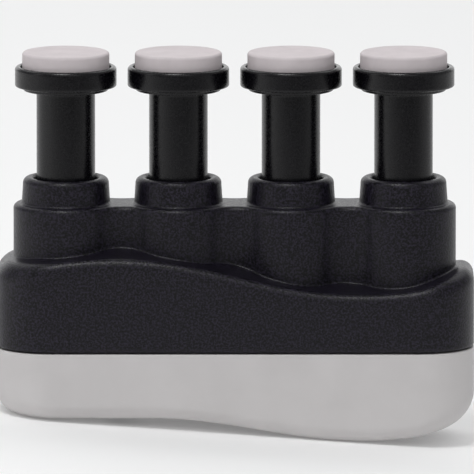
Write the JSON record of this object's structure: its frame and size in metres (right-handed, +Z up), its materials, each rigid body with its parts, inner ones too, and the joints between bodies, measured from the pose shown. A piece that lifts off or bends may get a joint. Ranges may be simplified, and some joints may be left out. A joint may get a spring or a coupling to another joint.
{
  "type": "finger exerciser",
  "caption": "Hand-held finger exerciser: sprung plungers with turning tension dials and soft pads over a waved black casing and a contoured grey palm rest.",
  "frame": {"origin": "under the middle of the body, level with the lowest point of the palm bulge", "axes": "+X across the fingers towards the palm bulge, +Z up along the plungers, -Y is the front"},
  "size_m": [0.083, 0.026, 0.0666],
  "materials": {
    "casing_black": "black ABS with a fine spark-eroded grain",
    "plunger_black": "black acetal, smooth satin",
    "palm_grey": "light warm grey ABS, fine matt texture",
    "pad_grey": "light grey silicone rubber, matt",
    "zinc_steel": "bright zinc plate",
    "spring_steel": "bright drawn spring wire",
    "nut_acetal": "natural white acetal, moulded"
  },
  "bodies": {
    "body": {"top_casing": "casing_black", "palm_rest": "palm_grey", "casing_screw_1": "zinc_steel", "casing_screw_2": "zinc_steel", "casing_screw_3": "zinc_steel", "casing_screw_4": "zinc_steel", "return_spring_1": "spring_steel", "return_spring_2": "spring_steel", "return_spring_3": "spring_steel", "return_spring_4": "spring_steel"},
    "plunger_1": {"plunger_1": "plunger_black"},
    "dial_1": {"tension_dial_1": "plunger_black", "finger_pad_1": "pad_grey", "tension_screw_1": "zinc_steel"},
    "nut_1": {"tension_nut_1": "nut_acetal"},
    "plunger_2": {"plunger_2": "plunger_black"},
    "dial_2": {"tension_dial_2": "plunger_black", "finger_pad_2": "pad_grey", "tension_screw_2": "zinc_steel"},
    "nut_2": {"tension_nut_2": "nut_acetal"},
    "plunger_3": {"plunger_3": "plunger_black"},
    "dial_3": {"tension_dial_3": "plunger_black", "finger_pad_3": "pad_grey", "tension_screw_3": "zinc_steel"},
    "nut_3": {"tension_nut_3": "nut_acetal"},
    "plunger_4": {"plunger_4": "plunger_black"},
    "dial_4": {"tension_dial_4": "plunger_black", "finger_pad_4": "pad_grey", "tension_screw_4": "zinc_steel"},
    "nut_4": {"tension_nut_4": "nut_acetal"}
  },
  "joints": [
    {"name": "plunger_slide_1", "type": "slide", "parent": "body", "child": "plunger_1", "axis": [0, 0, 1], "range_m": [-0.0145, 0], "stiffness_N_per_m": 350, "springref_m": 0.014, "deforming": ["return_spring_1"]},
    {"name": "dial_turn_1", "type": "hinge", "parent": "plunger_1", "child": "dial_1", "pos_m": [-0.02925, 0, 0.062], "axis": [0, 0, 1], "range_deg": [0, 1980]},
    {"name": "nut_travel_1", "type": "slide", "parent": "plunger_1", "child": "nut_1", "axis": [0, 0, 1], "range_m": [0, 0.01101]},
    {"name": "plunger_slide_2", "type": "slide", "parent": "body", "child": "plunger_2", "axis": [0, 0, 1], "range_m": [-0.0145, 0], "stiffness_N_per_m": 350, "springref_m": 0.014, "deforming": ["return_spring_2"]},
    {"name": "dial_turn_2", "type": "hinge", "parent": "plunger_2", "child": "dial_2", "pos_m": [-0.00975, 0, 0.062], "axis": [0, 0, 1], "range_deg": [0, 1980]},
    {"name": "nut_travel_2", "type": "slide", "parent": "plunger_2", "child": "nut_2", "axis": [0, 0, 1], "range_m": [0, 0.01101]},
    {"name": "plunger_slide_3", "type": "slide", "parent": "body", "child": "plunger_3", "axis": [0, 0, 1], "range_m": [-0.0145, 0], "stiffness_N_per_m": 350, "springref_m": 0.014, "deforming": ["return_spring_3"]},
    {"name": "dial_turn_3", "type": "hinge", "parent": "plunger_3", "child": "dial_3", "pos_m": [0.00975, 0, 0.062], "axis": [0, 0, 1], "range_deg": [0, 1980]},
    {"name": "nut_travel_3", "type": "slide", "parent": "plunger_3", "child": "nut_3", "axis": [0, 0, 1], "range_m": [0, 0.01101]},
    {"name": "plunger_slide_4", "type": "slide", "parent": "body", "child": "plunger_4", "axis": [0, 0, 1], "range_m": [-0.0145, 0], "stiffness_N_per_m": 350, "springref_m": 0.014, "deforming": ["return_spring_4"]},
    {"name": "dial_turn_4", "type": "hinge", "parent": "plunger_4", "child": "dial_4", "pos_m": [0.02925, 0, 0.062], "axis": [0, 0, 1], "range_deg": [0, 1980]},
    {"name": "nut_travel_4", "type": "slide", "parent": "plunger_4", "child": "nut_4", "axis": [0, 0, 1], "range_m": [0, 0.01101]}
  ],
  "couplings": [
    {"joint": "nut_travel_1", "follows": "dial_turn_1", "m_per_rad": 0.00031831},
    {"joint": "nut_travel_2", "follows": "dial_turn_2", "m_per_rad": 0.00031831},
    {"joint": "nut_travel_3", "follows": "dial_turn_3", "m_per_rad": 0.00031831},
    {"joint": "nut_travel_4", "follows": "dial_turn_4", "m_per_rad": 0.00031831}
  ]
}
